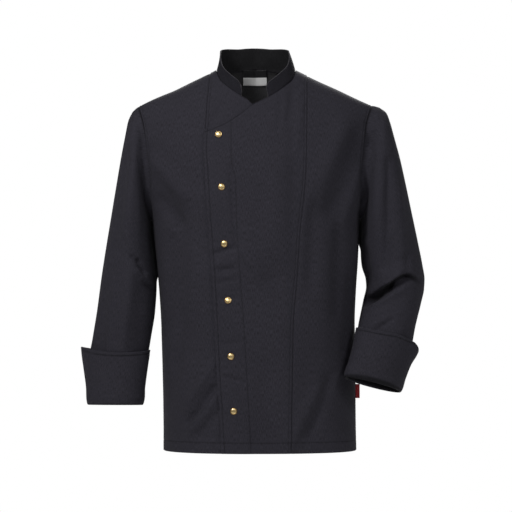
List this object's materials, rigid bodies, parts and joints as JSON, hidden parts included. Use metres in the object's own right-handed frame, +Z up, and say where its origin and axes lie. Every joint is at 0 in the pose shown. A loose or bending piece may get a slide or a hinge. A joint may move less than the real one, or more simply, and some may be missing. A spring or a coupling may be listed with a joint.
{
  "type": "chef jacket",
  "caption": "Dark long-sleeved chef jacket, worn shape with no wearer, with a stand collar, a slanted snap-fastened overlap and turned-back cuffs",
  "frame": {"origin": "middle of the neck opening, level with the side neck points, where the wearer's neck holds the jacket up", "axes": "+X to the wearer's left, -Y out of the chest, +Z up"},
  "size_m": [0.686, 0.2771, 0.8056],
  "materials": {
    "cloth": "matte fine twill, anthracite",
    "collar_cloth": "matte fine twill, near black",
    "snap_brass": "aged brass, satin",
    "black_tape": "woven tape, bare",
    "white_tape": "woven tape, bare",
    "red_tape": "woven tape, bare"
  },
  "bodies": {
    "root": {"front_side_right": "cloth", "front_center_right": "cloth", "front_center_left": "cloth", "front_side_left": "cloth", "back": "cloth", "sleeve_right": "cloth", "sleeve_left": "cloth", "cuff_right": "cloth", "cuff_left": "cloth", "collar": "collar_cloth", "snap_1": "snap_brass", "snap_2": "snap_brass", "snap_3": "snap_brass", "snap_4": "snap_brass", "snap_5": "snap_brass", "snap_6": "snap_brass", "neck_label": "black_tape", "care_label": "white_tape", "side_label": "red_tape"}
  },
  "joints": []
}
